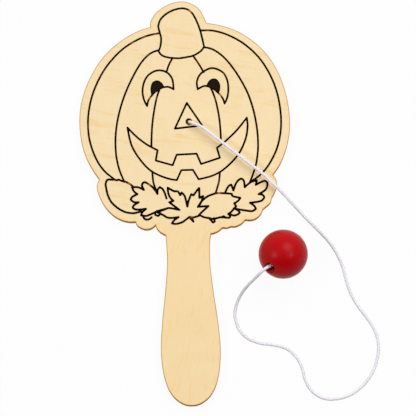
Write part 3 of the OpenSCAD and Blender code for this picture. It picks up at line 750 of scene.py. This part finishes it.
def engravedFace(ring, hole, cut):
    # Flat face between the outer ring and the hole, with the contours of two distances let into it:
    # the lips of the burnt lines lie on the face and their floors below it.
    low, field = distanceField(engravedDots(cut), cut)
    lip, lipEdges = contour(low, field, cut["cell"], cut["mouthWidth"])
    floor, floorEdges = contour(low, field, cut["cell"], cut["floorWidth"])
    ash = np.vstack([pupilDots(p, 1.0, 0.7, 4) for p in pupilShapes])
    starts = np.cumsum([0, len(ring), len(hole), len(lip), len(floor)])
    edges = np.vstack([ringEdges(starts[0], len(ring)), ringEdges(starts[1], len(hole)),
                       lipEdges + starts[2], floorEdges + starts[3]])
    points, faces, origin = filledBetween(np.vstack([ring, hole, lip, floor, ash]), edges, hole)
    first = np.array([o[0] if o else starts[3] for o in origin])
    deep = first >= starts[3]
    dark = np.where(first >= starts[4], 1.0, np.where(deep, 0.85, 0.0))
    for x, y, near, paler in cut["fades"]:
        away = np.linalg.norm(points - onHead([(x, y)]), axis=1) / (near * unit)
        dark = np.maximum(dark - np.where(deep, paler, 0) * np.exp(-away ** 2), 0)
    return points, faces, np.where(deep, lineDepth, 0.0), dark


innerHole = [(0.1, 0, 0.3), (0, 0.1, 0.48), (0, 1.44, 0.6), (0.1, 1.6, 0.6)]
plies = {
    # Each row: inset, height over the ply's foot, scorch, and painted shade added as more scorch where the
    # wall faces the foot.
    "backVeneer": {
        "node": "back_veneer", "slot": "back_wood", "dress": [backWood, backCut],
        "level": 0, "holeRadius": 3.2, "hole": innerHole,
        "wall": [(0.8, 0, 0, 0), (0.3, 0, 0.2, 0), (0.1, 0, 0.4, 0), (0.02, 0.06, 0.55, 0), (0, 0.2, 0.5, 0),
                 (0, 1.54, 0.5, 0), (0.05, 1.6, 0.5, 0)]},
    "coreVeneer": {
        "node": "core_veneer", "slot": "core_wood", "dress": [coreWood, coreCut],
        "level": ply, "holeRadius": 3.2, "hole": innerHole,
        "wall": [(0.06, 0, 0.5, 0), (0, 0.07, 0.5, 0), (0, 1.53, 0.5, 0), (0.06, 1.6, 0.5, 0)]},
    "frontVeneer": {
        "node": "front_veneer", "slot": "front_wood", "dress": [frontWood, frontCut, burntWood],
        "level": 2 * ply, "holeRadius": 1.6,
        "hole": [(0.1, 0, 0.5), (0, 0.1, 0.8), (0, 1.44, 1), (0.05, 1.55, 1), (0.18, 1.6, 0.75),
                 (0.5, 1.6, 0)],
        "wall": [(0.05, 0, 0.5, 0), (0, 0.06, 0.5, 0), (0, 0.7, 0.42, 0), (0, 1.3, 0.4, 0),
                 (0.03, 1.52, 0.42, 0.16), (0.09, 1.6, 0.42, 0.16), (0.24, 1.6, 0.28, 0.12),
                 (0.42, 1.6, 0.1, 0.2), (0.7, 1.6, 0, 0.07), (1.1, 1.6, 0, 0)]},
}


def weld(mesh):
    work = bmesh.new()
    work.from_mesh(mesh)
    bmesh.ops.remove_doubles(work, verts=work.verts, dist=2e-6)
    bmesh.ops.dissolve_degenerate(work, dist=1e-6, edges=work.edges)
    work.to_mesh(mesh)
    work.free()


def wallGrid(rings, heights):
    # Rings of points in the plane, each at its own height.
    return np.dstack([rings, np.broadcast_to(heights[:, None, None], rings.shape[:2] + (1,))]).reshape(-1, 3)


def layOf(uv, around, heights):
    # Length round the ring and height, for each corner of a wall's faces.
    rows = np.minimum(uv[..., 1], len(heights) - 1)
    return np.stack([around[uv[..., 0]], heights[rows]], -1).reshape(-1, 2)


def makePly(name, setup):
    # Wall: outline point + inset * inward step, at each height of the profile; the hole's wall stands the
    # same way round the hole, and two flat faces close the ply between them.
    outline = boardOutline()
    inward = mitres(outline)
    wall, rim, radius = np.array(setup["wall"]), np.array(setup["hole"]), setup["holeRadius"]
    rings = outline[None] + wall[:, 0, None, None] * inward[None]
    turn = roundTurns(boardSize["holeSides"])
    hole = holeAt + radius * np.column_stack([np.cos(turn), np.sin(turn)])
    holeRings = holeAt + (hole - holeAt)[None] * (1 + rim[:, 0] / radius)[:, None, None]
    heights, holeHeights = setup["level"] + wall[:, 1], setup["level"] + rim[:, 1]
    points = [wallGrid(rings, heights), wallGrid(holeRings, holeHeights)]
    # Painted shade: where the wall faces the foot it gets extra scorch, doubled on the handle's lower half.
    paintedFootShade = np.clip(inward[:, 1], 0, 1) ** 1.5 * np.where(outline[:, 1] < 0, 2.0, 1.0)
    burn = [(wall[:, 2:3] + wall[:, 3:] * paintedFootShade).ravel(), np.repeat(rim[:, 2], len(hole))]
    quads, uv = gridFaces(len(wall), len(outline))
    holeQuads, holeUv = gridFaces(len(rim), len(hole), flip=True)
    faces = quads.tolist() + (holeQuads + len(points[0])).tolist()
    corner = [layOf(uv, lengthAlong(np.vstack([outline, outline[:1]])), heights),
              layOf(holeUv, np.arange(len(hole) + 1) * 2 * math.pi * radius / len(hole), holeHeights)]
    onFace = (np.diff(wall[:, 1]) < 0.01) & ((wall[:-1, 0] + wall[1:, 0]) / 2 > 0.1)
    kind = [np.where(np.repeat(onFace, len(outline)), 0, 1), np.ones(len(holeQuads), int)]
    for end, height in ((0, setup["level"]), (-1, setup["level"] + ply)):
        first = sum(len(p) for p in points)
        if end and burntWood in setup["dress"]:
            flat, tris, depth, dark = engravedFace(rings[end], holeRings[end], engraving)
        else:
            flat, tris, depth, dark = plainFace(rings[end], holeRings[end])
        points.append(np.column_stack([flat, height - depth]))
        burn.append(dark)
        faces += ((tris if end else tris[:, ::-1]) + first).tolist()
        corner.append(np.zeros((3 * len(tris), 2)))
        kind.append(np.where(dark[tris].max(1) > 0.3, 2, 0))

    mesh = bpy.data.meshes.new(name)
    mesh.from_pydata((np.vstack(points) * mm).tolist(), [], faces)
    mesh.uv_layers.new(name="lay").data.foreach_set("uv", (np.vstack(corner) * mm).ravel())
    setPointValue(mesh, "burn", np.concatenate(burn))
    mesh.polygons.foreach_set("material_index", np.concatenate(kind).astype(np.int32))
    weld(mesh)
    piece = addObject(name, mesh, setup["dress"], sharpAngle=18)
    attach(piece, "paddle")
    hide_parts(setup["node"])
    print(name + ":", len(mesh.polygons), "faces")


for plyName, plySetup in plies.items():
    makePly(plyName, plySetup)

paintLook = {
    "tones": [(0.3, tone(181, 2, 11)), (0.5, tone(186, 3, 13)), (0.72, tone(191, 4, 15))],
    # inBore is painted shade: the colour the paint darkens to down in the bore.
    "inBore": tone(52, 3, 6), "roughness": (0.3, 0.36), "sheen": 0.12,
}


def makeBallMaterial(look):
    # Dull red paint soaked into turned wood: faint turning rings and grain show through.
    material, tree, shader = newMaterial("satinRedPaint")
    objectAt = objectPlace(tree)
    turned = noiseAt(layPlace(tree), (2, 900, 1))
    grain = noiseAt(objectAt, (700, 700, 90), 2, 0.6)
    peel = noiseAt(objectAt, (900, 900, 900), 1)
    colour = ramp(noiseAt(objectAt, (110, 110, 110)), look["tones"])
    rough = plus(times(grain, 0.5), times(peel, 0.8))
    height = plus(times(turned, 0.5), rough)
    # The colour darkens towards the bore as painted shade.
    fillInputs(shader, {
        "Base Color": mixColour(pointValue(tree, "bore"), colour, look["inBore"]),
        "Roughness": spread(peel, 0.3, 0.7, *look["roughness"]), "Specular IOR Level": look["sheen"],
        "Normal": bumped(0.06, 0.0002, height)})
    return material


def boreFrame(local):
    # Local x and y square to the bore, z along it out of the mouth.
    across = unitLong(np.cross((0, 0, 1.0), boreLine))
    over = np.cross(boreLine, across)
    return ballMid + local[..., :1] * across + local[..., 1:2] * over + local[..., 2:] * boreLine


def makeBall(setup):
    # (radius from the bore, place along it) runs up the bore and the cone, round the lip and over the
    # sphere, and back to the bore's middle.
    r, bore, sink, ease = setup["radius"], setup["bore"], setup["sink"], setup["ease"]
    face = math.sqrt(r ** 2 - sink ** 2)
    floor = face - (sink - bore)
    rim = math.asin(sink / r) + ease / r
    arc = np.linspace(rim, math.pi - rim, setup["arcRows"])
    outside = np.column_stack([r * np.sin(arc), r * np.cos(arc)])
    up = np.arange(setup["boreRows"]) / setup["boreRows"] * floor
    inBore = np.column_stack([np.full(len(up), bore), up])
    coneTop = np.array([sink, face]) - ease * 0.71
    cone = coneTop + np.linspace(1, 0, setup["coneRows"])[:, None] * ((bore, floor) - coneTop)
    t = np.linspace(0, 1, setup["lipRows"] + 2)[1:-1, None]
    lip = (1 - t) ** 2 * coneTop + 2 * t * (1 - t) * np.array([sink, face]) + t ** 2 * outside[0]
    half = np.vstack([inBore, cone, lip])
    profile = np.vstack([half, outside, (half * (1, -1))[::-1][:-1]])
    local = turnedGrid(profile, setup["around"])
    mesh = gridMesh("ball", boreFrame(local), lengthAlong(profile) * mm, aroundRows=True, flip=True)
    # Painted shade: the paint's colour darkens from the cone down into the bore.
    depth = np.clip((sink - profile[:, 0]) / (sink - bore), 0, 1) ** 2
    depth[len(half):len(half) + len(outside)] = 0
    setPointValue(mesh, "bore", np.repeat(depth, setup["around"]))
    piece = addObject("ball", mesh, [makeBallMaterial(paintLook)], sharpAngle=40)
    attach(piece, "ball")
    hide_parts("ball")
    print("ball:", len(mesh.polygons), "faces")


makeBall(ballSetup)


def makeRubberMaterial():
    # The cord's cut end: pale rubber threads, with painted shade in the seams between them.
    material, tree, shader = newMaterial("rubberThreads")
    cells = put("TexVoronoi", {"Vector": objectPlace(tree), "Scale": 2600.0}).outputs["Distance"]
    colour = ramp(cells, [(0.0, tone(222, 208, 178)), (0.7, tone(150, 136, 120))])
    fillInputs(shader, {"Base Color": colour, "Roughness": 0.7})
    return material


rubber = makeRubberMaterial()
knotSetup = {
    "tube": 0.56, "ring": 1.2, "wave": 0.6, "lift": 0.85, "rows": 180, "sides": 16, "rib": 0.05,
    "middle": 1.45,                  # above its seat
    "tail": {"start": 0.4, "end": 5.3, "radius": 0.82, "swell": 0.03, "rows": 12},
}


def knotGrid(setup):
    # Trefoil: ((ring + wave cos 3t) cos 2t, (ring + wave cos 3t) sin 2t, lift sin 3t), a tight overhand
    # knot; its cover's ribs are radius * (1 + rib * sin 8 turn * sin 60t).
    t = roundTurns(setup["rows"])
    reach = setup["ring"] + setup["wave"] * np.cos(3 * t)
    path = np.column_stack([reach * np.cos(2 * t), reach * np.sin(2 * t),
                            setup["lift"] * np.sin(3 * t) + setup["middle"]])
    closed = np.vstack([path[-1:], path, path[:1]])
    tangent = unitLong(closed[2:] - closed[:-2])
    side = unitLong(np.cross(tangent, path * (1, 1, 0)))
    turn = roundTurns(setup["sides"])
    ribbed = setup["tube"] * (1 + setup["rib"] * np.sin(8 * turn)[None] * np.sin(60 * t)[:, None])
    return tubeGrid(path, side, np.cross(tangent, side), ribbed, setup["sides"]), lengthAlong(path)


def tailGrid(setup, sides):
    # Straight tail from start to end along z: radius * (1 + swell * share^6), drawn in at the cut.
    z = np.linspace(setup["start"], setup["end"], setup["rows"])
    r = setup["radius"] * (1 + setup["swell"] * np.linspace(0, 1, setup["rows"]) ** 6)
    r[-1] *= 0.86
    return turnedGrid(np.column_stack([r, z]), sides), z - setup["start"]


def makeKnot(name, node, body, place, setup, holeShadeAndSoot, tail=False):
    knot, along = knotGrid(setup)
    parts = [gridMesh(name, place(knot), along * mm, aroundRows=True)]
    if tail:
        stub, stubAlong = tailGrid(setup["tail"], setup["sides"])
        parts.append(gridMesh(name + "Tail", place(stub), stubAlong * mm, caps=True))
    work = bmesh.new()
    for part in parts:
        work.from_mesh(part)
        bpy.data.meshes.remove(part)
    mesh = bpy.data.meshes.new(name)
    work.to_mesh(mesh)
    work.free()
    # Painted shade, with a little soot: the back knot, seen only down the hole, is darkened whole; the ball's
    # knot is not.
    setPointValue(mesh, "holeShadeAndSoot", np.full(len(mesh.vertices), holeShadeAndSoot))
    piece = addObject(name, mesh, [cordBraid, rubber])
    if tail:
        mesh.polygons[len(mesh.polygons) - 1].material_index = 1   # the tail's cut end
    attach(piece, body)
    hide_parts(node)
    print(name + ":", len(mesh.polygons), "faces")


def behindBall(local):
    return boreFrame(local * (1, -1, -1) - (0, 0, ballSetup["knotSeat"]))


def underHole(local):
    return np.array([*holeAt, 2 * ply]) + local * (1, -1, -1)


makeKnot("ballKnot", "ball_knot", "cord_end", behindBall, knotSetup, 0.0, tail=True)
makeKnot("backKnot", "back_knot", "paddle", underHole, knotSetup, 1.0)

studio = {
    "floorHalf": 2.0, "floorDrop": 5e-5, "floorGrey": 0.6,   # metres, metres, grey that lights the object
    "shadowShow": 0.05,              # how much of the floor that the camera sees takes shadows
    "worldLight": 0.32, "skyTilt": (-0.35, 0.9), "skyRise": (0.05, 1.2),
    "ceiling": 0.05,                 # what the gloss shows overhead
    "aim": (0.02, 0.07, 0.0),
    "lamps": {  # compass turn, elevation, distance and size in metres, power in watts
        "keyLamp": (53, 56, 1.8, 1.25, 13.6),
        "rightLamp": (-14, 52, 1.1, 0.36, 2.0),
        "leftLamp": (191, 46, 1.1, 0.36, 2.3),
    },
}


def seenRay(tree):
    # 1 for what the camera sees straight, in gloss or through glass, and 0 for light on the object.
    path = newNode(tree, "LightPath").outputs
    inGloss = calc("MAXIMUM", path["Is Glossy Ray"], path["Is Transmission Ray"])
    return calc("MAXIMUM", path["Is Camera Ray"], inGloss)


def makeFloor(setup):
    half, low = setup["floorHalf"], -setup["floorDrop"]
    mesh = bpy.data.meshes.new("floor")
    mesh.from_pydata([(-half, -half, low), (half, -half, low), (half, half, low), (-half, half, low)],
                     [], [(0, 1, 2, 3)])
    material, tree, shader = newMaterial("floorPaper")
    tree.nodes.remove(shader)
    seen = seenRay(tree)
    shown = mixColour(seen, (setup["floorGrey"],) * 3 + (1,), (setup["shadowShow"],) * 3 + (1,))
    paper = put("BsdfDiffuse", {0: shown}).outputs[0]
    glow = put("Emission", {0: white, 1: times(seen, 0.99 - setup["shadowShow"])}).outputs[0]
    both = put("AddShader", {0: paper, 1: glow}).outputs[0]
    fillInputs(tree.nodes["Material Output"], {0: both})
    mesh.materials.append(material)
    floor = addThing("floor", mesh)


def makeWorld(setup):
    # Light falls mostly from above the stem's end; gloss and the camera see a pale room.
    world = bpy.context.scene.world or bpy.data.worlds.new("world")
    bpy.context.scene.world = world
    world.use_nodes = True
    tree = world.node_tree
    way = put("SeparateXYZ", {0: newNode(tree, "TexCoord").outputs["Generated"]}).outputs
    room = spread(way[2], 0.2, 0.7, 1.0, setup["ceiling"])
    aside = plus(*(times(way[i], setup["skyTilt"][i]) for i in range(2)))
    above = spread(plus(way[2], aside), *setup["skyRise"], 0, 2.0 * setup["worldLight"])
    strength = put("Mix", {0: seenRay(tree), 2: above, 3: room}).outputs[0]
    fillInputs(tree.nodes["Background"], {0: white, 1: strength})


def makeLamp(name, aim, turn, lift, distance, size, power):
    data = bpy.data.lights.new(name, "AREA")
    data.shape, data.size, data.energy = "DISK", size, power
    addThing(name, data).matrix_world = standing(aim, turn, lift, distance)


makeFloor(studio)
makeWorld(studio)
for lampName, lampSetup in studio["lamps"].items():
    makeLamp(lampName, studio["aim"], *lampSetup)
bpy.context.scene.view_settings.view_transform = "Standard"
print("floor, world and lamps set")
